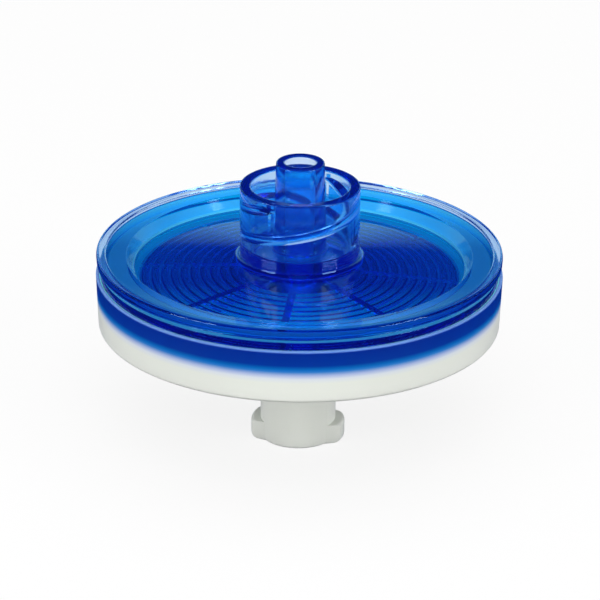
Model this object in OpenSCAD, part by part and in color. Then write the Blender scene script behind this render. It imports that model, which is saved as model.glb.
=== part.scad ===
// Syringe filter, 33 mm class: a coloured outlet shell with a male Luer-lock fitting,
// welded over a natural inlet shell with a female Luer-lock hub, and a membrane between them.
// The filter stands on the open end of its hub. +Z runs up the flow axis, from inlet to outlet.

/* [Housing] */
// Radius of the rim
rim_r = 16.7; // [12.5:0.1:20]
// Height of the rim's top edge
rim_z = 16.6; // [15:0.1:20]
// Width of the flat rim
rim_w = 2.48; // [2:0.01:3]
// Fall of the rim's top from its outer to its inner edge
rim_dish = 0.35; // [0.1:0.05:0.5]
// Depth of the top plate below the rim's edge, beside the collar
plate_drop = 0.5; // [0.4:0.05:0.7]
// Fall of the top plate from the collar to the foot of the recess
plate_fall = 0.98; // [0.2:0.02:1.2]
// Thickness of the top plate beside the collar
plate_t = 3.3; // [3.1:0.05:3.6]
// Height of the housing, from the foot ring to the rim's top edge
housing_h = 6.3; // [6.1:0.1:8]
// How far the foot ring lies inside the rim's radius
foot_inset = 0.15; // [0:0.05:0.5]

/* [Weld joint] */
// Height of the groove round the rim
groove_h = 0.34; // [0.2:0.02:0.5]
// Depth of the groove round the rim
groove_depth = 0.72; // [0.3:0.02:0.9]
// Depth of the lip above the groove
lip_t = 0.84; // [0.6:0.02:1]
// Drop from the rim's edge to the top of the outer wall
wall_drop = 1.84; // [1.6:0.02:2.2]
// Thickness of the outer wall where it wraps the skirt
wrap_t = 0.36; // [0.3:0.02:0.6]
// Drop from the rim's edge to the bottom of the skirt
skirt_drop = 3.9; // [3.5:0.05:4.1]
// Thickness of the skirt
skirt_t = 0.52; // [0.4:0.02:0.54]
// Width of the weld tongue inside the skirt
tongue_w = 1.6; // [1.2:0.05:1.65]
// Drop from the rim's edge to the top of the weld tongue
tongue_drop = 2.6; // [2.4:0.05:2.8]

/* [Support ribs] */
// Radius of the first support ring
ring_first_r = 5.19; // [5:0.01:5.4]
// Spacing of the support rings
ring_pitch = 0.81; // [0.7:0.01:0.81]
// Width of a support ring at its tip
ring_tip_w = 0.26; // [0.2:0.02:0.4]
// Width of a support ring at its root
ring_root_w = 0.46; // [0.42:0.02:0.6]
// Depth of the support rings
ring_depth = 0.45; // [0.3:0.05:0.6]
// Number of radial drain channels
channel_count = 8; // [4:1:12]
// Width of a drain channel
channel_w = 0.6; // [0.4:0.05:1.2]
// Angle of the first drain channel
channel_angle = 38.7; // [0:0.1:45]

/* [Outlet fitting] */
// Radius of the male taper at its tip
tip_r = 1.98; // [1.96:0.005:2]
// Height of the tip above the rim's edge
tip_rise = 7.75; // [7.5:0.05:9]
// Radius of the outlet passage at the tip
outlet_bore_r = 1.3; // [0.8:0.05:1.4]
// Outer radius of the lock collar
collar_r = 4.93; // [4.8:0.01:5.4]
// Inner radius of the lock collar, at the thread's root
collar_bore_r = 4.05; // [4:0.01:4.1]
// Height of the collar's top above the rim's edge
collar_rise = 5.7; // [5.2:0.05:6.5]
// Height of the floor between tip and collar above the rim's edge
gap_floor_rise = 0.4; // [0:0.05:0.8]
// Rounding where the collar meets the plate
collar_fillet = 0.5; // [0.2:0.05:0.8]
// Radius at the crest of the collar's thread
thread_crest_r = 3.52; // [3.45:0.01:3.6]
// Rise of the two-start thread in one turn
thread_lead = 5; // [4.5:0.1:5.5]
// Angle at which the thread passes the rim's height
thread_angle = 70; // [0:1:359]

/* [Inlet hub] */
// Outer radius of the hub
hub_r = 3.13; // [3:0.01:3.3]
// Radius of the female taper at its mouth
mouth_r = 2.15; // [2.135:0.005:2.16]
// Depth of the female taper
socket_depth = 8.5; // [7.5:0.1:9]
// Radius of the passage beyond the taper
inlet_bore_r = 0.9; // [0.6:0.05:1.4]
// Radius across the two lock lugs
lug_r = 3.9; // [3.8:0.01:3.95]
// Height of the lugs
lug_h = 1.65; // [1.2:0.05:2]
// Angle of the first lug
lug_angle = 173; // [0:1:179]

/* [Membrane] */
// Thickness of the membrane
membrane_t = 0.15; // [0.1:0.01:0.2]

/* [Hidden] */
$fn = 96;
eps = 0.01;

luer_slope = 0.03;                      // radius lost for each unit of length, a 6% taper
outlet_blue = [0.03, 0.25, 0.68];
inlet_white = [0.92, 0.93, 0.90];
membrane_white = [0.97, 0.97, 0.95];

// small steps, edges and leans that stay as they are
rim_edge = 0.2;                         // rounding of the rim's outer edge
rim_draft = 0.04;
lip_edge = 0.1;
rim_step_in = 0.79;                     // a low step round the rim's top, in from its edge
rim_step_h = 0.12;
rim_step_fall = 0.06;                   // fall of the rim's top from its edge to the step
recess_lean = 0.6;                      // how far the recess narrows towards its foot
recess_fillet = 0.3;
skirt_edge = 0.25;                      // rounding of the skirt's and the foot ring's lower edge
bead_t = 0.04;                          // bead on the skirt, just above the outer wall
bead_edge = 0.06;
wall_edge = 0.12;
rim_to_rings = 1.3;                     // room kept between the recess and the last support ring
rings_to_wall = 0.5;
wall_draft = 0.05;
membrane_grip = 1.2;                    // width of membrane held between the shells
membrane_room = 0.07;
seat_step = 0.1;
inlet_chamber_h = 0.6;
base_t = 0.85;
foot_ring_w = 2;
rest_gap = 0.05;                        // the inlet rings stop short of the membrane
mould_relief = 0.05;                    // gap between the land's outside and the inlet shell
channel_relief = 0.05;                  // how far the channels cut into the plate and the base
bore_draft = 0.15;                      // the outlet passage narrows by this much downwards
collar_edge = 0.15;                     // rounding of the collar's top
tip_edge = 0.2;
mouth_edge = 0.12;
hub_edge = 0.15;

// radii and levels of the housing
rim_in_r = rim_r - rim_w;
foot_r = rim_r - foot_inset;
rim_in_z = rim_z - rim_dish;
plate_in_z = rim_z - plate_drop;
plate_out_z = plate_in_z - plate_fall;
plate_under_z = plate_in_z - plate_t;
ring_tip_z = plate_under_z - ring_depth;
recess_r = rim_in_r - recess_lean;
lip_under_z = rim_z - lip_t;
groove_under_z = lip_under_z - groove_h;
groove_r = rim_r - groove_depth;
wall_top_z = rim_z - wall_drop;
skirt_z = rim_z - skirt_drop;
foot_z = rim_z - housing_h;
wall_r = rim_r + 0.03;                  // outer wall, where it wraps the skirt
skirt_r = wall_r - wrap_t;              // the skirt's outside lies on the outer wall
tongue_r = skirt_r - skirt_t;
tongue_z = rim_z - tongue_drop;
land_r = tongue_r - tongue_w;           // outside of the land that clamps the membrane
ring_count = floor((rim_in_r - rim_to_rings - ring_first_r) / ring_pitch) + 1;
chamber_r = ring_first_r + (ring_count - 1) * ring_pitch + rings_to_wall;

// levels below the membrane
membrane_z = ring_tip_z - membrane_t;
membrane_r = min(chamber_r + membrane_grip, land_r - membrane_room);
seat_r = chamber_r + seat_step;         // inner radius of the seat that clamps the membrane
chamber_z = membrane_z - inlet_chamber_h;
base_under_z = chamber_z - base_t;
base_fillet = 0.6 * (base_under_z - foot_z);
base_ring_r = foot_r - foot_ring_w;

// levels of the fittings
tip_z = rim_z + tip_rise;
collar_z = rim_z + collar_rise;
gap_floor_z = rim_z + gap_floor_rise;
tip_foot_r = tip_r + luer_slope * (tip_z - gap_floor_z);
socket_end_r = mouth_r - luer_slope * socket_depth;

// points along an arc, from one angle to another
function arc(centre, r, from, to, steps = 5) = [
    for (i = [0:steps])
        let (a = from + (to - from) * i / steps)
        centre + r * [cos(a), sin(a)]
];

// section of the support rings from the inner ring outwards; a negative height hangs them down
function ring_row(plate_z, height) = [
    for (i = [0:ring_count - 1])
        let (r = ring_first_r + i * ring_pitch)
        each [
            [r - ring_root_w / 2, plate_z],
            [r - ring_tip_w / 2, plate_z + height],
            [r + ring_tip_w / 2, plate_z + height],
            [r + ring_root_w / 2, plate_z]
        ]
];

function reversed(points) = [for (i = [len(points) - 1:-1:0]) points[i]];

// radial channels that cross the support rings
module channels(low_z, high_z) {
    for (i = [0:channel_count - 1])
        rotate([0, 0, channel_angle + i * 360 / channel_count])
            translate([ring_first_r - 1, -channel_w / 2, low_z])
                cube([chamber_r - ring_first_r + 1 - eps, channel_w, high_z - low_z]);
}

// the outlet shell turned about its axis, before the channels and the thread
module outlet_body() {
    gap_fillet = 0.3;
    tip_fillet = 0.2;
    rotate_extrude()
        polygon(concat(
            [[outlet_bore_r - bore_draft, plate_under_z]],
            ring_row(plate_under_z, -ring_depth),
            [
                [chamber_r, plate_under_z],
                [chamber_r + wall_draft, ring_tip_z],
                [land_r, ring_tip_z],
                [land_r, tongue_z],
                [tongue_r, tongue_z],
                [tongue_r, skirt_z]
            ],
            arc([skirt_r - skirt_edge, skirt_z + skirt_edge], skirt_edge, -90, 0, 3),
            [
                [skirt_r, wall_top_z],
                [skirt_r + bead_t, wall_top_z],
                [skirt_r + bead_t, groove_under_z - bead_edge],
                [skirt_r + bead_t - bead_edge, groove_under_z],
                [groove_r, groove_under_z],
                [groove_r, lip_under_z],
                [rim_r - rim_draft - lip_edge, lip_under_z],
                [rim_r - rim_draft, lip_under_z + lip_edge]
            ],
            arc([rim_r - rim_edge, rim_z - rim_edge], rim_edge, 0, 90, 4),
            [
                [rim_r - rim_step_in + rim_draft, rim_z - rim_step_fall],
                [rim_r - rim_step_in, rim_z - rim_step_fall - rim_step_h],
                [rim_in_r, rim_in_z]
            ],
            arc([recess_r - recess_fillet, plate_out_z + recess_fillet], recess_fillet, -25, -85, 4),
            arc([collar_r + collar_fillet, plate_in_z + collar_fillet], collar_fillet, -85, -180, 5),
            arc([collar_r - collar_edge, collar_z - collar_edge], collar_edge, 0, 90, 4),
            arc([collar_bore_r + collar_edge, collar_z - collar_edge], collar_edge, 90, 180, 4),
            arc([collar_bore_r - gap_fillet, gap_floor_z + gap_fillet], gap_fillet, 0, -90, 4),
            arc([tip_foot_r + tip_fillet, gap_floor_z + tip_fillet], tip_fillet, -90, -180, 3),
            arc([tip_r - tip_edge, tip_z - tip_edge], tip_edge, 2, 90, 5),
            [
                [outlet_bore_r + 0.8 * bore_draft, tip_z],
                [outlet_bore_r, tip_z - bore_draft]
            ]
        ));
}

// one start of the collar's thread: a ridge swept along a right-hand helix
module thread_start(turn_angle, low_z, high_z) {
    step = 12;
    half_root = 0.55;
    half_crest = 0.18;
    run_out = 40;                       // the ridge fades into the wall over this angle
    root = collar_bore_r + 0.15;
    faded_r = collar_bore_r + 0.05;     // the crest ends here, inside the collar's wall
    turn = (high_z - low_z) / thread_lead * 360;
    count = round(turn / step);
    from = turn_angle + (low_z - rim_z) / thread_lead * 360;
    rings = [
        for (i = [0:count])
            let (
                a = turn * i / count,
                fade = min(1, min(a, turn - a) / run_out),
                crest = faded_r - (faded_r - thread_crest_r) * fade,
                z = low_z + (high_z - low_z) * i / count
            )
            [for (p = [[root, -half_root], [crest, -half_crest], [crest, half_crest], [root, half_root]])
                [p.x * cos(from + a), p.x * sin(from + a), z + p.y]]
    ];
    polyhedron(
        points = [for (ring = rings) each ring],
        faces = concat(
            [[0, 1, 2, 3]],
            [for (i = [0:count - 1], j = [0:3])
                let (k = (j + 1) % 4)
                [4 * i + j, 4 * i + 4 + j, 4 * i + 4 + k, 4 * i + k]],
            [[for (j = [3:-1:0]) 4 * count + j]]
        )
    );
}

// clear moulded shell: thick plate, rim, skirt, male Luer tip and lock collar in one piece
module outlet_shell() {
    thread_margin = 0.7;                // from the thread's ends to the gap floor and the top
    color(outlet_blue) {
        difference() {
            outlet_body();
            channels(ring_tip_z - eps, plate_under_z + channel_relief);
        }
        for (start = [0, 180])
            thread_start(thread_angle + start, gap_floor_z + thread_margin, collar_z - thread_margin);
    }
}

// two lugs at the hub's end, wider at the root than at the tip
module lugs() {
    edge = 0.3;
    under = hub_r - 0.5;                // the lugs start inside the hub's wall
    root_half = 36.4;
    tip_half = 17.1;
    root = hub_r * [cos(root_half), sin(root_half)];
    tip = lug_r * [cos(tip_half), sin(tip_half)];
    inside = root - 0.3 * (tip - root);
    beyond = tip + 0.4 * (tip - root);
    intersection() {
        rotate_extrude()
            polygon(concat(
                [[under, 0]],
                arc([lug_r - edge, edge], edge, -90, 0, 4),
                arc([lug_r - edge, lug_h - 1.3 * edge], edge, 0, 70, 4),
                [[under, lug_h]]
            ));
        for (turn = [0, 180])
            rotate([0, 0, lug_angle + turn])
                linear_extrude(lug_h)
                    polygon([inside, [inside.x, -inside.y], [beyond.x, -beyond.y], beyond]);
    }
}

// the inlet shell turned about its axis
module inlet_body() {
    neck_fillet = 0.6;
    rotate_extrude()
        polygon(concat(
            [[mouth_r, mouth_edge], [mouth_r + mouth_edge, 0]],
            arc([hub_r - hub_edge, hub_edge], hub_edge, -90, 0, 3),
            arc([hub_r + neck_fillet, base_under_z - neck_fillet], neck_fillet, 180, 90, 4),
            arc([base_ring_r - base_fillet, base_under_z - base_fillet], base_fillet, 90, 0, 4),
            [[base_ring_r + 2 * wall_draft, foot_z]],
            arc([foot_r - skirt_edge, foot_z + skirt_edge], skirt_edge, -90, 0, 4),
            arc([wall_r - wall_edge, wall_top_z - wall_edge], wall_edge, 0, 90, 3),
            [
                [skirt_r, wall_top_z],
                [skirt_r, skirt_z],
                [tongue_r, skirt_z],
                [tongue_r, tongue_z],
                [land_r + mould_relief, tongue_z],
                [land_r + mould_relief, membrane_z],
                [seat_r, membrane_z],
                [seat_r, chamber_z]
            ],
            reversed(ring_row(chamber_z, membrane_z - rest_gap - chamber_z)),
            [
                [inlet_bore_r, chamber_z],
                [inlet_bore_r, socket_depth],
                [socket_end_r, socket_depth]
            ]
        ));
}

// natural moulded shell: base, weld tongue, outer wall and female Luer hub in one piece
module inlet_shell() {
    color(inlet_white) {
        difference() {
            inlet_body();
            channels(chamber_z - channel_relief, membrane_z);
        }
        lugs();
    }
}

// flat membrane disc, clamped round its edge between the shells
module membrane() {
    color(membrane_white)
        translate([0, 0, membrane_z])
            cylinder(r = membrane_r, h = membrane_t);
}

outlet_shell();
inlet_shell();
membrane();
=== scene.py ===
import math
import bmesh
import bpy
from mathutils import Matrix, Vector
from mathutils import noise as mathNoise


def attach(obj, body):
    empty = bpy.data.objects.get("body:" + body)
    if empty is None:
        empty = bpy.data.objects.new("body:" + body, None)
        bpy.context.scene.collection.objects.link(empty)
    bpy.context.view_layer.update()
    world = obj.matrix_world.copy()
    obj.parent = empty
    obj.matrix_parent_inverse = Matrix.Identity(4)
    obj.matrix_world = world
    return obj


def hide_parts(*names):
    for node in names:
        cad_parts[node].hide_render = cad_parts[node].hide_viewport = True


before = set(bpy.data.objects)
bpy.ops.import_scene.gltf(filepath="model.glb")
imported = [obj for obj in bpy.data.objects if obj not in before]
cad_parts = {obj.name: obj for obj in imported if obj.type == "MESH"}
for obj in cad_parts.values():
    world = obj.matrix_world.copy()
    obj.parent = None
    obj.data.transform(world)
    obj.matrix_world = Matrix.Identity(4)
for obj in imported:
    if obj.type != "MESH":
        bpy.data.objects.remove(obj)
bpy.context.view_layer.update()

mm = 0.001
print("frame loaded:", sorted(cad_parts))

# all sizes are in mm and all angles in degrees unless a note says otherwise
shot = {
    "target": (0.0, 0.0, 16.6),         # centre of the rim's top edge
    "distance": 300.0,
    "elevation": 22.25,
    "tilt": 0.79,                       # how far below the target the camera looks
    "pan": -0.014,
    "roll": 0.55,
    "lens": 219.24,
    "sensor": 36,
    "clip": (0.01, 20),                 # m
}

studio = {
    "skyStrength": 1.5,
    "skyTones": [                       # sine of the height, brightness for lit surfaces
        (0.00, 0.60), (0.20, 0.60), (0.35, 0.05), (0.60, 0.05), (0.84, 0.60), (1.00, 0.60),
    ],
    "mirrorTones": [                    # the same for reflections
        (0.00, (0.24, 0.62, 0.66)), (0.18, (0.24, 0.62, 0.66)), (0.30, (0.0, 0.025, 0.20)),
        (0.70, (0.0, 0.025, 0.20)), (0.90, (0.02, 0.10, 0.40)), (1.00, (0.02, 0.10, 0.40)),
    ],
    "frontShare": 0.3,                  # brightness of the camera's side against the back
    "sideBlend": (-0.3, 0.5),           # where the front turns into the back
    "floorSize": 6.0,                   # m
    "floorDrop": 0.02,                  # how far the floor lies below the part's foot
    "floorColor": (0.12, 0.12, 0.12),
    "floorMirror": (0.0, 0.05, 0.30),
    "shadowShare": 0.16,                # how much of the floor's white shows the shadow
    "lamps": [                          # name, place (m), aim (m), size (m), power (W), mirrored
        ("topLamp", (0.0, -0.75, 0.8), (0, 0, 0.0), 0.7, 3.5, False),
        ("leftLamp", (-0.75, -0.45, 0.22), (0, 0, 0.01), 0.5, 3.9, True),
        ("rightLamp", (0.75, -0.45, 0.22), (0, 0, 0.01), 0.5, 3.9, True),
        ("frontLamp", (0.0, -0.95, 0.12), (0, 0, 0.01), 0.5, 1.65, False),
    ],
}

bounces = {"whole": 24, "clear": 24, "mirror": 12}

detail = {
    "turnSteps": 360,                   # facets round the axis
    "discSteps": 180,
    "arcSteps": 4,                      # facets of a rounding
    "smallArcSteps": 2,                 # facets of a rounding up to smallArc
    "smallArc": 0.07,
    "guard": 0.03,                      # a point this far past a rounding keeps a flat flat
    "guardFrom": 0.5,                   # shortest flat that gets one
    "threadStep": 2.5,
    "lugSteps": 24,
    "sharpAngle": 38,
}

housing = {
    "rimR": 16.7, "rimInR": 14.22, "rimZ": 16.6, "rimDish": 0.35, "rimDraft": 0.06,
    "stepR": 15.91, "stepH": 0.12, "stepFall": 0.06, "stepSlope": 0.05,
    "plateInZ": 16.1, "plateOutZ": 15.12, "plateUnder": 12.8, "recessR": 13.62,
    "lipUnder": 15.76, "grooveUnder": 15.42, "grooveR": 15.98,
    "wallTop": 14.76, "wallR": 16.73, "skirtR": 16.37, "skirtZ": 12.7,
    "landR": 14.25, "tongueR": 15.85, "tongueZ": 14.0, "chamberR": 12.98, "chamberDraft": 0.05,
    "footZ": 10.3, "footR": 16.55, "baseUnder": 10.75, "baseRingR": 14.55, "baseRingDraft": 0.1,
    "membraneZ": 12.2, "chamberZ": 11.6, "seatR": 13.08,
}

# the welded faces reach a little into each other, so that no gap shows between them
overlap = {
    "tongue": 0.02, "skirt": 0.03, "bead": 0.04, "beadFoot": 0.01,
    "white": 0.01, "whiteTongue": 0.03, "landGap": 0.05,
}

# ragged flash left round the rim's outer edge
flash = {
    "depth": 0.02, "width": 0.12, "height": 0.25,
    "rough": (31, 1.7), "fine": (97, 5.2),      # scale of the noise, and which slice of it
    "patches": (4, 8.8), "share": 0.45,
}

ribs = {
    "firstR": 5.19, "pitch": 0.81, "count": 10, "tipW": 0.26, "rootW": 0.46, "depth": 0.45, "restGap": 0.05,
    "channels": 8, "channelWidth": 0.6, "channelAngle": 38.7, "channelIn": 1.0, "channelOut": 0.01,
    "outletCut": (-0.02, 0.05),         # how far the channels pass the ribs, below and above
    "inletCut": (-0.05, -0.02),
}

outletFitting = {
    "tipR": 1.98, "tipZ": 24.35, "tipFootR": 2.2, "boreR": 1.3, "boreDraft": 0.15,
    "collarR": 4.93, "collarBoreR": 4.05, "collarZ": 22.3, "gapFloor": 17.0,
    "threadCrestR": 3.52, "threadLead": 5.0, "threadAngle": 70, "threadMargin": 0.7, "threadFade": 40,
    "crestHalf": 0.18, "rootHalf": 0.55, "threadRoot": 0.15, "fadedCrest": 0.05,
    "crestEdge": (0.02, 0.08),          # small and large step of the crest's rounded edges
    "flankBulge": 0.12,
}

hub = {
    "hubR": 3.13, "mouthR": 2.17, "socketEndR": 1.895, "socketDepth": 8.5, "boreR": 0.9,
    "lugR": 3.9, "lugH": 1.65, "lugFall": 0.1, "lugRoot": 0.3,
    "lugAngle": 173, "rootAngle": 36.4, "tipAngle": 17.1,
}

membraneSize = {"grip": 1.2, "lift": 0.005, "top": 0.16, "middleR": 0.02, "edge": 0.03}

# roundings, each named for the edge that it is on
edges = {
    "crisp": 0.05, "ribRoot": 0.05, "ribTip": 0.06, "groove": 0.06, "stepFoot": 0.03,
    "chamber": 0.08, "bead": 0.08, "seat": 0.08, "bore": 0.1, "land": 0.1, "lip": 0.1, "socket": 0.1,
    "wall": 0.12, "tongue": 0.15, "collar": 0.15, "tipMouth": 0.15, "hub": 0.15,
    "rim": 0.2, "tip": 0.2, "tipFoot": 0.2, "foot": 0.2, "skirt": 0.25, "gap": 0.3, "recess": 0.3, "lug": 0.3,
    "base": 0.4, "collarFoot": 0.5, "neck": 0.6,
}

bluePlastic = {
    "ior": 1.54,
    "roughness": (0.03, 0.09),
    "absorbPerMm": (0.75, 0.41, 0.065),     # red, green, blue
    "redEnds": (0.8, 1.8),                  # length of plastic over which the last red goes
    "redDepths": (1.5, 3.5),                # the same in surfaces passed
    "redLeft": 0.05,
    "shine": (0.3, 0.65, 1.0),
    # a faint painted glow over the whole blue plastic
    "paintedHazeGlowColor": (0.08, 0.25, 1.0),
    "paintedHazeGlow": 0.013,
    "cloudScale": 700, "grainScale": 900, "grain": 0.02, "grainDepth": 0.2,
}

whitePlastic = {
    "ior": 1.49,
    "roughness": (0.42, 0.55),
    "shine": 0.1,
    "soak": 0.5,                            # share of the light that passes through
    "soakDepth": 1.2,
    "fadeZ": (12.0, 14.8),                  # the coloured skirt shows through the thin wall over it
    "fade": [
        (0.00, (0.775, 0.80, 0.745)),
        (0.14, (0.70, 0.74, 0.80)),
        (0.26, (0.35, 0.44, 0.72)),
        (0.36, (0.03, 0.20, 0.56)),
        (0.44, (0.0, 0.13, 0.48)),
        (0.55, (0.0, 0.032, 0.31)),
        (0.93, (0.0, 0.024, 0.28)),
        (0.97, (0.10, 0.22, 0.60)),
        (1.00, (0.25, 0.40, 0.75)),
    ],
    "innerColorAndGlow": (0.20, 0.74, 0.56),       # the faces seen through the blue plastic, and the colour of their painted glow
    "innerR": (16.43, 16.47),
    "innerZ": (11.4, 11.5),
    "paintedInnerGlow": 0.36,                      # painted glow on those faces, standing in for light that soaks through the shell
    "paintedBackGlow": 1.3,                        # the same painted glow at the back, brighter there
    "paintedBackGlowY": (3, 14),
    "cloudScale": 500, "grainScale": 1200, "grain": 0.05, "grainDepth": 0.1,
}

membraneSheet = {
    "color": (0.70, 0.71, 0.72),
    "darkShare": 0.94,
    "roughness": 0.8,
    # the sheet glows though it is no lamp: painted light, stronger at the clamped edge and towards the front
    "paintedMembraneGlowColor": (0.02, 0.80, 0.50),
    "paintedEdgeGlow": 0.5,                        # painted glow at the clamped edge, standing in for light soaking in there
    "paintedEdgeGlowR": (12.9, 13.1),
    "paintedFrontGlow": 0.8,
    "paintedFrontGlowY": (-12, -2),
    "grainScale": 3000,
}


# objects and node trees
def newObject(name, data):
    obj = bpy.data.objects.new(name, data)
    bpy.context.scene.collection.objects.link(obj)
    return obj


def feed(tree, socket, value):
    if isinstance(value, bpy.types.NodeSocket):
        tree.links.new(value, socket)
    else:
        socket.default_value = value


def mathNode(tree, operation, first, second):
    node = tree.nodes.new("ShaderNodeMath")
    node.operation = operation
    feed(tree, node.inputs[0], first)
    feed(tree, node.inputs[1], second)
    return node.outputs[0]


def ranged(tree, value, low, high, source=(0.3, 0.7)):
    node = tree.nodes.new("ShaderNodeMapRange")
    node.inputs["From Min"].default_value, node.inputs["From Max"].default_value = source
    node.inputs["To Min"].default_value, node.inputs["To Max"].default_value = low, high
    tree.links.new(value, node.inputs["Value"])
    return node.outputs["Result"]


def rangedMm(tree, value, low, high, source):
    return ranged(tree, value, low, high, [place * mm for place in source])


def mixColors(tree, factor, first, second):
    node = tree.nodes.new("ShaderNodeMix")
    node.data_type = "RGBA"
    for key, value in (("Factor", factor), ("A", first), ("B", second)):
        feed(tree, node.inputs[key], value)
    return node.outputs["Result"]


def mixShaders(tree, factor, first, second):
    node = tree.nodes.new("ShaderNodeMixShader")
    for i, value in enumerate((factor, first, second)):
        feed(tree, node.inputs[i], value)
    return node.outputs[0]


def plainShader(tree, kind, color):
    node = tree.nodes.new(kind)
    node.inputs["Color"].default_value = (*color, 1)
    return node.outputs[0]


def toneRamp(tree, value, stops):
    node = tree.nodes.new("ShaderNodeValToRGB")
    elements = node.color_ramp.elements
    while len(elements) < len(stops):
        elements.new(0.5)
    for element, (place, color) in zip(elements, stops):
        element.position = place
        element.color = (*color, 1)
    tree.links.new(value, node.inputs["Fac"])
    return node.outputs["Color"]


def whiteForView(tree, path, lit, white):
    # the camera, and what is seen through the clear plastic, get plain white
    seen = mathNode(tree, "MAXIMUM", path.outputs["Is Camera Ray"], path.outputs["Is Transmission Ray"])
    return mixShaders(tree, seen, lit, white)


# camera, world, floor and lamps
def makeCamera():
    data = bpy.data.cameras.new("shotCamera")
    data.sensor_width = shot["sensor"]
    data.lens = shot["lens"]
    data.clip_start, data.clip_end = shot["clip"]
    obj = newObject("shotCamera", data)
    height = math.radians(shot["elevation"])
    outward = Vector((0, -math.cos(height), math.sin(height)))
    obj.location = Vector(shot["target"]) * mm + shot["distance"] * mm * outward
    look = Matrix.Rotation(math.radians(90) - height, 4, "X")
    look = look @ Matrix.Rotation(math.radians(shot["pan"]), 4, "Y")
    look = look @ Matrix.Rotation(-math.radians(shot["tilt"]), 4, "X")
    look = look @ Matrix.Rotation(math.radians(shot["roll"]), 4, "Z")
    obj.rotation_euler = look.to_euler()
    bpy.context.scene.camera = obj


def makeWorld():
    world = bpy.data.worlds.new("studioWorld")
    bpy.context.scene.world = world
    world.use_nodes = True
    tree = world.node_tree
    tree.nodes.clear()
    out = tree.nodes.new("ShaderNodeOutputWorld")
    place = tree.nodes.new("ShaderNodeTexCoord")
    split = tree.nodes.new("ShaderNodeSeparateXYZ")
    tree.links.new(place.outputs["Generated"], split.inputs[0])
    grey = [(height, (tone, tone, tone)) for height, tone in studio["skyTones"]]
    plain = toneRamp(tree, split.outputs["Z"], grey)
    mirror = toneRamp(tree, split.outputs["Z"], studio["mirrorTones"])
    # the camera's side is the darker one in reflections
    scaled = tree.nodes.new("ShaderNodeVectorMath")
    scaled.operation = "SCALE"
    tree.links.new(mirror, scaled.inputs[0])
    share = ranged(tree, split.outputs["Y"], studio["frontShare"], 1, studio["sideBlend"])
    tree.links.new(share, scaled.inputs["Scale"])
    path = tree.nodes.new("ShaderNodeLightPath")
    tone = mixColors(tree, path.outputs["Is Glossy Ray"], plain, scaled.outputs["Vector"])
    lit = tree.nodes.new("ShaderNodeBackground")
    tree.links.new(tone, lit.inputs["Color"])
    lit.inputs["Strength"].default_value = studio["skyStrength"]
    white = plainShader(tree, "ShaderNodeBackground", (1, 1, 1))
    tree.links.new(whiteForView(tree, path, lit.outputs[0], white), out.inputs["Surface"])


def makeFloor():
    mesh = bpy.data.meshes.new("studioFloor")
    half = studio["floorSize"] / 2
    corners = [(-half, -half, 0), (half, -half, 0), (half, half, 0), (-half, half, 0)]
    mesh.from_pydata(corners, [], [(0, 1, 2, 3)])
    obj = newObject("studioFloor", mesh)
    obj.location.z = -studio["floorDrop"] * mm
    mat = bpy.data.materials.new("studioFloor")
    mat.use_nodes = True
    tree = mat.node_tree
    tree.nodes.clear()
    out = tree.nodes.new("ShaderNodeOutputMaterial")
    path = tree.nodes.new("ShaderNodeLightPath")
    pale = plainShader(tree, "ShaderNodeBsdfDiffuse", (1, 1, 1))
    glow = plainShader(tree, "ShaderNodeEmission", (1, 1, 1))
    plain = plainShader(tree, "ShaderNodeBsdfDiffuse", studio["floorColor"])
    mirror = plainShader(tree, "ShaderNodeEmission", studio["floorMirror"])
    seen = mixShaders(tree, 1 - studio["shadowShare"], pale, glow)
    lit = mixShaders(tree, path.outputs["Is Glossy Ray"], plain, mirror)
    tree.links.new(whiteForView(tree, path, lit, seen), out.inputs["Surface"])
    mesh.materials.append(mat)


def makeLamps():
    for name, place, aim, size, power, mirrored in studio["lamps"]:
        data = bpy.data.lights.new(name, "AREA")
        data.shape = "DISK"
        data.size = size
        data.energy = power
        obj = newObject(name, data)
        obj.location = place
        obj.rotation_euler = (Vector(aim) - Vector(place)).to_track_quat("-Z", "Y").to_euler()
        obj.visible_camera = False
        obj.visible_glossy = mirrored


makeCamera()
bpy.context.scene.view_settings.view_transform = "Standard"
bpy.context.scene.cycles.max_bounces = bounces["whole"]
bpy.context.scene.cycles.transmission_bounces = bounces["clear"]
bpy.context.scene.cycles.glossy_bounces = bounces["mirror"]
makeWorld()
makeFloor()
makeLamps()
print("studio ready")


# meshes
def roundedOutline(corners):
    # corners are (radius, height, rounding)
    d = detail
    straight = math.pi - 0.02
    mostOfSide = 0.48
    points = []
    for i, (r, z, rounding) in enumerate(corners):
        here = Vector((r, z))
        before = Vector(corners[i - 1][:2]) - here
        after = Vector(corners[(i + 1) % len(corners)][:2]) - here
        lengthBefore, lengthAfter = before.length, after.length
        before.normalize()
        after.normalize()
        angle = before.angle(after)
        if rounding <= 0 or angle > straight:
            points.append(here)
            continue
        cut = min(rounding / math.tan(angle / 2), mostOfSide * lengthBefore, mostOfSide * lengthAfter)
        used = cut * math.tan(angle / 2)
        centre = here + (before + after).normalized() * (used / math.sin(angle / 2))
        start, end = here + before * cut, here + after * cut
        first, last = start - centre, end - centre
        whole = first.angle(last)
        steps = d["arcSteps"] if rounding > d["smallArc"] else d["smallArcSteps"]
        if lengthBefore > d["guardFrom"]:
            points.append(start + before * d["guard"])
        for k in range(steps + 1):
            t = k / steps
            shareFirst, shareLast = math.sin((1 - t) * whole), math.sin(t * whole)
            points.append(centre + (first * shareFirst + last * shareLast) / math.sin(whole))
        if lengthAfter > d["guardFrom"]:
            points.append(end + after * d["guard"])
    return points


def closedMesh(name, verts, faces):
    mesh = bpy.data.meshes.new(name)
    mesh.from_pydata([(x * mm, y * mm, z * mm) for x, y, z in verts], [], faces)
    bm = bmesh.new()
    bm.from_mesh(mesh)
    bmesh.ops.recalc_face_normals(bm, faces=bm.faces)
    bm.to_mesh(mesh)
    bm.free()
    return newObject(name, mesh)


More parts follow.
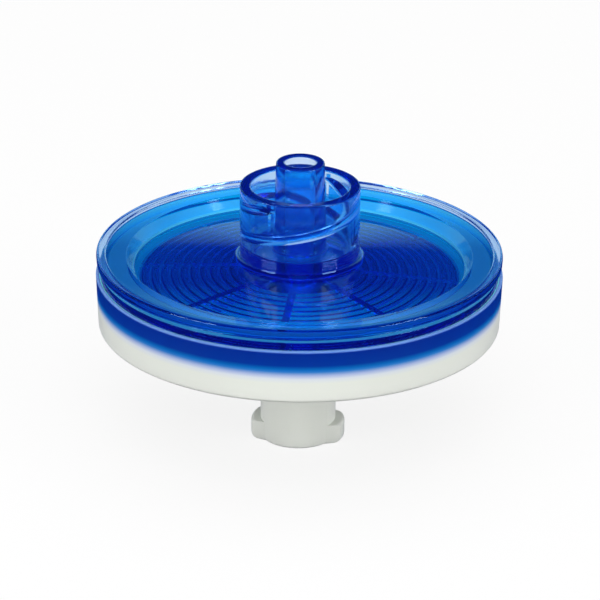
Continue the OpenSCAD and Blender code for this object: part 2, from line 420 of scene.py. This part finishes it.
def skinned(name, sections, ring=False):
    # a closed mesh through a row of sections; a ring joins its last section to its first
    n = len(sections[0])
    count = len(sections)
    faces = []
    for i in range(count if ring else count - 1):
        here, there = n * i, n * ((i + 1) % count)
        for j in range(n):
            k = (j + 1) % n
            faces.append((here + j, here + k, there + k, there + j))
    if not ring:
        faces.append(tuple(range(n)))
        faces.append(tuple(n * (count - 1) + j for j in reversed(range(n))))
    return closedMesh(name, [p for section in sections for p in section], faces)


def polar(r, angle, z):
    return (r * math.cos(angle), r * math.sin(angle), z)


def turned(name, outline, steps, edgeShift=None):
    # turns a closed outline about the Z axis
    sections = []
    for s in range(steps):
        angle = 2 * math.pi * s / steps
        shifts = [edgeShift(r, z, angle) if edgeShift else 0 for r, z in outline]
        sections.append([polar(r + shift, angle, z) for (r, z), shift in zip(outline, shifts)])
    return skinned(name, sections, ring=True)


def combined(obj, tool, operation):
    # cuts or joins tool and obj, and removes tool
    mod = obj.modifiers.new("step", "BOOLEAN")
    mod.operation = operation
    mod.solver = "MANIFOLD"
    mod.object = tool
    bpy.context.view_layer.update()
    graph = bpy.context.evaluated_depsgraph_get()
    mesh = bpy.data.meshes.new_from_object(obj.evaluated_get(graph))
    obj.modifiers.remove(mod)
    spent = [obj.data, tool.data]
    obj.data = mesh
    mesh.name = obj.name
    bpy.data.objects.remove(tool)
    for old in spent:
        bpy.data.meshes.remove(old)


def smoothed(obj):
    for poly in obj.data.polygons:
        poly.use_smooth = True
    obj.data.set_sharp_from_angle(angle=math.radians(detail["sharpAngle"]))
    return obj


def channelBoxes(name, lowZ, highZ):
    inner = ribs["firstR"] - ribs["channelIn"]
    outer = housing["chamberR"] - ribs["channelOut"]
    sides = ((3, 2, 1, 0), (4, 5, 6, 7), (0, 1, 5, 4), (1, 2, 6, 5), (2, 3, 7, 6), (3, 0, 4, 7))
    verts, faces = [], []
    for i in range(ribs["channels"]):
        angle = math.radians(ribs["channelAngle"] + i * 360 / ribs["channels"])
        along = Vector((math.cos(angle), math.sin(angle)))
        across = Vector((-math.sin(angle), math.cos(angle))) * ribs["channelWidth"] / 2
        faces += [tuple(len(verts) + k for k in side) for side in sides]
        for z in (lowZ, highZ):
            for r, side in ((inner, -1), (outer, -1), (outer, 1), (inner, 1)):
                verts.append((*(along * r + across * side), z))
    return closedMesh(name, verts, faces)


def ribOutline(rootZ, tipZ):
    corners = []
    for i in range(ribs["count"]):
        r = ribs["firstR"] + i * ribs["pitch"]
        root, tip = ribs["rootW"] / 2, ribs["tipW"] / 2
        corners += [
            (r - root, rootZ, edges["ribRoot"]),
            (r - tip, tipZ, edges["ribTip"]),
            (r + tip, tipZ, edges["ribTip"]),
            (r + root, rootZ, edges["ribRoot"]),
        ]
    return corners


# outlet shell
def flashShift(r, z, angle):
    if r < housing["rimR"] - flash["width"] or z < housing["rimZ"] - flash["height"]:
        return 0
    ca, sa = math.cos(angle), math.sin(angle)

    def ragged(scale, level):
        return mathNoise.noise(Vector((ca * scale, sa * scale, level)))

    patchy = min(1, max(0, ragged(*flash["patches"]) + flash["share"]))
    return -flash["depth"] * abs(ragged(*flash["fine"]) + ragged(*flash["rough"])) * patchy


def outletOutline():
    h, f, o, e = housing, outletFitting, overlap, edges
    ribTipZ = h["plateUnder"] - ribs["depth"]
    corners = [(f["boreR"] - f["boreDraft"], h["plateUnder"], e["bore"])]
    corners += ribOutline(h["plateUnder"], ribTipZ)
    corners += [
        (h["chamberR"], h["plateUnder"], e["chamber"]),
        (h["chamberR"] + h["chamberDraft"], ribTipZ, e["chamber"]),
        (h["landR"], ribTipZ, e["land"]),
        (h["landR"], h["tongueZ"] - o["tongue"], e["crisp"]),
        (h["tongueR"] + o["tongue"], h["tongueZ"] - o["tongue"], e["crisp"]),
        (h["tongueR"] + o["tongue"], h["skirtZ"] - o["tongue"], e["land"]),
        (h["skirtR"] + o["skirt"], h["skirtZ"] - o["tongue"], e["skirt"]),
        (h["skirtR"] + o["skirt"], h["wallTop"], 0),
        (h["skirtR"] + o["bead"], h["wallTop"] + o["beadFoot"], 0),
        (h["skirtR"] + o["bead"], h["grooveUnder"], e["bead"]),
        (h["grooveR"], h["grooveUnder"], e["groove"]),
        (h["grooveR"], h["lipUnder"], e["groove"]),
        (h["rimR"] - h["rimDraft"], h["lipUnder"], e["lip"]),
        (h["rimR"], h["rimZ"], e["rim"]),
        (h["stepR"] + h["stepSlope"], h["rimZ"] - h["stepFall"], e["crisp"]),
        (h["stepR"], h["rimZ"] - h["stepFall"] - h["stepH"], e["stepFoot"]),
        (h["rimInR"], h["rimZ"] - h["rimDish"], e["crisp"]),
        (h["recessR"], h["plateOutZ"], e["recess"]),
        (f["collarR"], h["plateInZ"], e["collarFoot"]),
        (f["collarR"], f["collarZ"], e["collar"]),
        (f["collarBoreR"], f["collarZ"], e["collar"]),
        (f["collarBoreR"], f["gapFloor"], e["gap"]),
        (f["tipFootR"], f["gapFloor"], e["tipFoot"]),
        (f["tipR"], f["tipZ"], e["tip"]),
        (f["boreR"], f["tipZ"], e["tipMouth"]),
    ]
    return roundedOutline(corners)


def threadRidge(name, angle):
    f = outletFitting
    low, high = f["gapFloor"] + f["threadMargin"], f["collarZ"] - f["threadMargin"]
    turn = (high - low) / f["threadLead"] * 360
    start = angle + (low - housing["rimZ"]) / f["threadLead"] * 360
    count = int(turn / detail["threadStep"])
    faded = f["collarBoreR"] + f["fadedCrest"]
    root, rootHalf, crestHalf = f["collarBoreR"] + f["threadRoot"], f["rootHalf"], f["crestHalf"]
    bulge = (rootHalf - crestHalf) * f["flankBulge"]
    small, large = f["crestEdge"]
    sections = []
    for i in range(count + 1):
        a = turn * i / count
        fade = min(1, min(a, turn - a) / f["threadFade"])
        fade = fade * fade * (3 - 2 * fade)
        crest = faded - (faded - f["threadCrestR"]) * fade
        z = low + (high - low) * i / count
        half = [
            (root, rootHalf), (crest + large, crestHalf + bulge),
            (crest + small, crestHalf - small), (crest, crestHalf - large),
        ]
        section = [(r, -dz) for r, dz in half] + list(reversed(half))
        sections.append([polar(r, math.radians(start + a), z + dz) for r, dz in section])
    return skinned(name, sections)


def makeOutletShell():
    obj = turned("outletShell", outletOutline(), detail["turnSteps"], flashShift)
    below, above = ribs["outletCut"]
    plateZ = housing["plateUnder"]
    boxes = channelBoxes("outletChannels", plateZ - ribs["depth"] + below, plateZ + above)
    combined(obj, boxes, "DIFFERENCE")
    for turn in (0, 180):
        combined(obj, threadRidge("threadStart", outletFitting["threadAngle"] + turn), "UNION")
    return smoothed(obj)


# inlet shell
def inletOutline():
    h, b, o, e = housing, hub, overlap, edges
    corners = [
        (b["mouthR"], 0, e["socket"]),
        (b["hubR"], 0, e["hub"]),
        (b["hubR"], h["baseUnder"], e["neck"]),
        (h["baseRingR"], h["baseUnder"], e["base"]),
        (h["baseRingR"] + h["baseRingDraft"], h["footZ"], e["foot"]),
        (h["footR"], h["footZ"], e["skirt"]),
        (h["wallR"], h["wallTop"], e["wall"]),
        (h["skirtR"] + o["white"], h["wallTop"], e["crisp"]),
        (h["skirtR"] + o["white"], h["skirtZ"] - o["white"], e["tongue"]),
        (h["tongueR"] + o["whiteTongue"], h["skirtZ"] - o["white"], e["crisp"]),
        (h["tongueR"] + o["whiteTongue"], h["tongueZ"] - o["white"], e["crisp"]),
        (h["landR"] + o["landGap"], h["tongueZ"] - o["white"], e["crisp"]),
        (h["landR"] + o["landGap"], h["membraneZ"], e["crisp"]),
        (h["seatR"], h["membraneZ"], e["seat"]),
        (h["seatR"], h["chamberZ"], e["land"]),
    ]
    corners += reversed(ribOutline(h["chamberZ"], h["membraneZ"] - ribs["restGap"]))
    corners += [
        (b["boreR"], h["chamberZ"], e["bore"]),
        (b["boreR"], b["socketDepth"], e["bore"]),
        (b["socketEndR"], b["socketDepth"], e["socket"]),
    ]
    return roundedOutline(corners)


def lugPart(name, angle):
    # one lug: a wedge of the turned lug outline, wider at the root
    b = hub
    root = b["hubR"] - b["lugRoot"]
    outline = roundedOutline([
        (root, 0, 0),
        (b["lugR"], 0, edges["lug"]),
        (b["lugR"], b["lugH"] - b["lugFall"], edges["lug"]),
        (root, b["lugH"], 0),
    ])
    rootHalf, tipHalf = math.radians(b["rootAngle"]), math.radians(b["tipAngle"])
    sections = []
    for s in range(detail["lugSteps"] + 1):
        across = 2 * s / detail["lugSteps"] - 1
        section = []
        for r, z in outline:
            share = (r - b["hubR"]) / (b["lugR"] - b["hubR"])
            half = rootHalf + (tipHalf - rootHalf) * share
            section.append(polar(r, math.radians(angle) + half * across, z))
        sections.append(section)
    return skinned(name, sections)


def makeInletShell():
    obj = turned("inletShell", inletOutline(), detail["turnSteps"])
    below, above = ribs["inletCut"]
    boxes = channelBoxes("inletChannels", housing["chamberZ"] + below, housing["membraneZ"] + above)
    combined(obj, boxes, "DIFFERENCE")
    for turn in (0, 180):
        combined(obj, lugPart("lug", hub["lugAngle"] + turn), "UNION")
    return smoothed(obj)


# membrane
def makeMembrane():
    m = membraneSize
    low, top = housing["membraneZ"] + m["lift"], housing["membraneZ"] + m["top"]
    r = housing["chamberR"] + m["grip"]
    corners = [(m["middleR"], low, 0), (r, low, m["edge"]), (r, top, m["edge"]), (m["middleR"], top, 0)]
    return smoothed(turned("membraneDisc", roundedOutline(corners), detail["discSteps"]))


# materials
def newMaterial(name):
    mat = bpy.data.materials.new(name)
    mat.use_nodes = True
    return mat, mat.node_tree, mat.node_tree.nodes["Principled BSDF"]


def noiseNode(tree, scale, fineness=3.0):
    source = tree.nodes.new("ShaderNodeTexCoord")
    node = tree.nodes.new("ShaderNodeTexNoise")
    node.inputs["Scale"].default_value = scale
    node.inputs["Detail"].default_value = fineness
    tree.links.new(source.outputs["Object"], node.inputs["Vector"])
    return node.outputs["Fac"]


def placeOn(tree):
    # distance from the axis, and the place along Y and Z
    source = tree.nodes.new("ShaderNodeTexCoord")
    split = tree.nodes.new("ShaderNodeSeparateXYZ")
    flat = tree.nodes.new("ShaderNodeVectorMath")
    flat.operation = "MULTIPLY"
    flat.inputs[1].default_value = (1, 1, 0)
    length = tree.nodes.new("ShaderNodeVectorMath")
    length.operation = "LENGTH"
    tree.links.new(source.outputs["Object"], split.inputs[0])
    tree.links.new(source.outputs["Object"], flat.inputs[0])
    tree.links.new(flat.outputs["Vector"], length.inputs[0])
    return length.outputs["Value"], split.outputs["Y"], split.outputs["Z"]


def addSurface(tree, shader, plastic):
    # cloudy gloss and a fine grain
    gloss = ranged(tree, noiseNode(tree, plastic["cloudScale"]), *plastic["roughness"])
    tree.links.new(gloss, shader.inputs["Roughness"])
    bump = tree.nodes.new("ShaderNodeBump")
    bump.inputs["Strength"].default_value = plastic["grain"]
    bump.inputs["Distance"].default_value = plastic["grainDepth"] * mm
    tree.links.new(noiseNode(tree, plastic["grainScale"], 4), bump.inputs["Height"])
    tree.links.new(bump.outputs["Normal"], shader.inputs["Normal"])


def makeBlue():
    b = bluePlastic
    mat, tree, shader = newMaterial("clearBluePlastic")
    # leaving the plastic takes out the red that a long path would have lost
    path = tree.nodes.new("ShaderNodeLightPath")
    face = tree.nodes.new("ShaderNodeNewGeometry")
    near = rangedMm(tree, path.outputs["Ray Length"], 1, 0, b["redEnds"])
    early = ranged(tree, path.outputs["Transmission Depth"], 1, b["redLeft"], b["redDepths"])
    red = tree.nodes.new("ShaderNodeMix")
    tree.links.new(face.outputs["Backfacing"], red.inputs["Factor"])
    red.inputs["A"].default_value = 1
    tree.links.new(mathNode(tree, "MULTIPLY", near, early), red.inputs["B"])
    tint = tree.nodes.new("ShaderNodeCombineColor")
    tint.inputs["Green"].default_value = 1
    tint.inputs["Blue"].default_value = 1
    tree.links.new(red.outputs["Result"], tint.inputs["Red"])
    tree.links.new(tint.outputs["Color"], shader.inputs["Base Color"])
    shader.inputs["Specular Tint"].default_value = (*b["shine"], 1)
    # painted glow: a faint blue emission over the whole plastic
    shader.inputs["Emission Color"].default_value = (*b["paintedHazeGlowColor"], 1)
    shader.inputs["Emission Strength"].default_value = b["paintedHazeGlow"]
    shader.inputs["IOR"].default_value = b["ior"]
    shader.inputs["Transmission Weight"].default_value = 1.0
    addSurface(tree, shader, b)
    absorb = tree.nodes.new("ShaderNodeVolumeAbsorption")
    most = max(b["absorbPerMm"])
    absorb.inputs["Color"].default_value = (*[1 - k / most for k in b["absorbPerMm"]], 1)
    absorb.inputs["Density"].default_value = most / mm
    tree.links.new(absorb.outputs[0], tree.nodes["Material Output"].inputs["Volume"])
    return mat


def makeWhite():
    w = whitePlastic
    mat, tree, shader = newMaterial("naturalPlastic")
    radius, y, z = placeOn(tree)
    inside = rangedMm(tree, radius, 1, 0, w["innerR"])
    upper = rangedMm(tree, z, 0, 1, w["innerZ"])
    inner = mathNode(tree, "MULTIPLY", inside, upper)
    outer = toneRamp(tree, rangedMm(tree, z, 0, 1, w["fadeZ"]), w["fade"])
    tone = mixColors(tree, inner, outer, (*w["innerColorAndGlow"], 1))
    tree.links.new(tone, shader.inputs["Base Color"])
    # painted glow on the inner faces, brighter towards the back: it stands in for light that soaks through
    # the shell from behind
    paintedGlowByY = rangedMm(tree, y, w["paintedInnerGlow"], w["paintedBackGlow"], w["paintedBackGlowY"])
    tree.links.new(mathNode(tree, "MULTIPLY", inner, paintedGlowByY), shader.inputs["Emission Strength"])
    shader.inputs["Emission Color"].default_value = (*w["innerColorAndGlow"], 1)
    shader.inputs["IOR"].default_value = w["ior"]
    shader.inputs["Specular IOR Level"].default_value = w["shine"]
    shader.inputs["Subsurface Weight"].default_value = w["soak"]
    shader.inputs["Subsurface Radius"].default_value = (1, 1, 1)
    shader.inputs["Subsurface Scale"].default_value = w["soakDepth"] * mm
    addSurface(tree, shader, w)
    return mat


def makeMembraneMaterial():
    m = membraneSheet
    mat, tree, shader = newMaterial("membraneSheet")
    shader.inputs["Roughness"].default_value = m["roughness"]
    dark = [c * m["darkShare"] for c in m["color"]]
    tone = toneRamp(tree, noiseNode(tree, m["grainScale"], 5), [(0, dark), (1, m["color"])])
    tree.links.new(tone, shader.inputs["Base Color"])
    radius, y, _ = placeOn(tree)
    # painted glow: stronger at the clamped edge and towards the front (-Y)
    edge = rangedMm(tree, radius, 0, m["paintedEdgeGlow"], m["paintedEdgeGlowR"])
    front = rangedMm(tree, y, m["paintedFrontGlow"], 0, m["paintedFrontGlowY"])
    tree.links.new(mathNode(tree, "ADD", edge, front), shader.inputs["Emission Strength"])
    shader.inputs["Emission Color"].default_value = (*m["paintedMembraneGlowColor"], 1)
    return mat


outletShell = makeOutletShell()
print("outlet shell made:", len(outletShell.data.polygons), "faces")
inletShell = makeInletShell()
print("inlet shell made:", len(inletShell.data.polygons), "faces")
membraneDisc = makeMembrane()
print("membrane made:", len(membraneDisc.data.polygons), "faces")

for obj, node, mat in (
    (outletShell, "outlet_shell", makeBlue()),
    (inletShell, "inlet_shell", makeWhite()),
    (membraneDisc, "membrane", makeMembraneMaterial()),
):
    obj.data.materials.clear()
    obj.data.materials.append(mat)
    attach(obj, "root")
    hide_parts(node)
print("materials on")
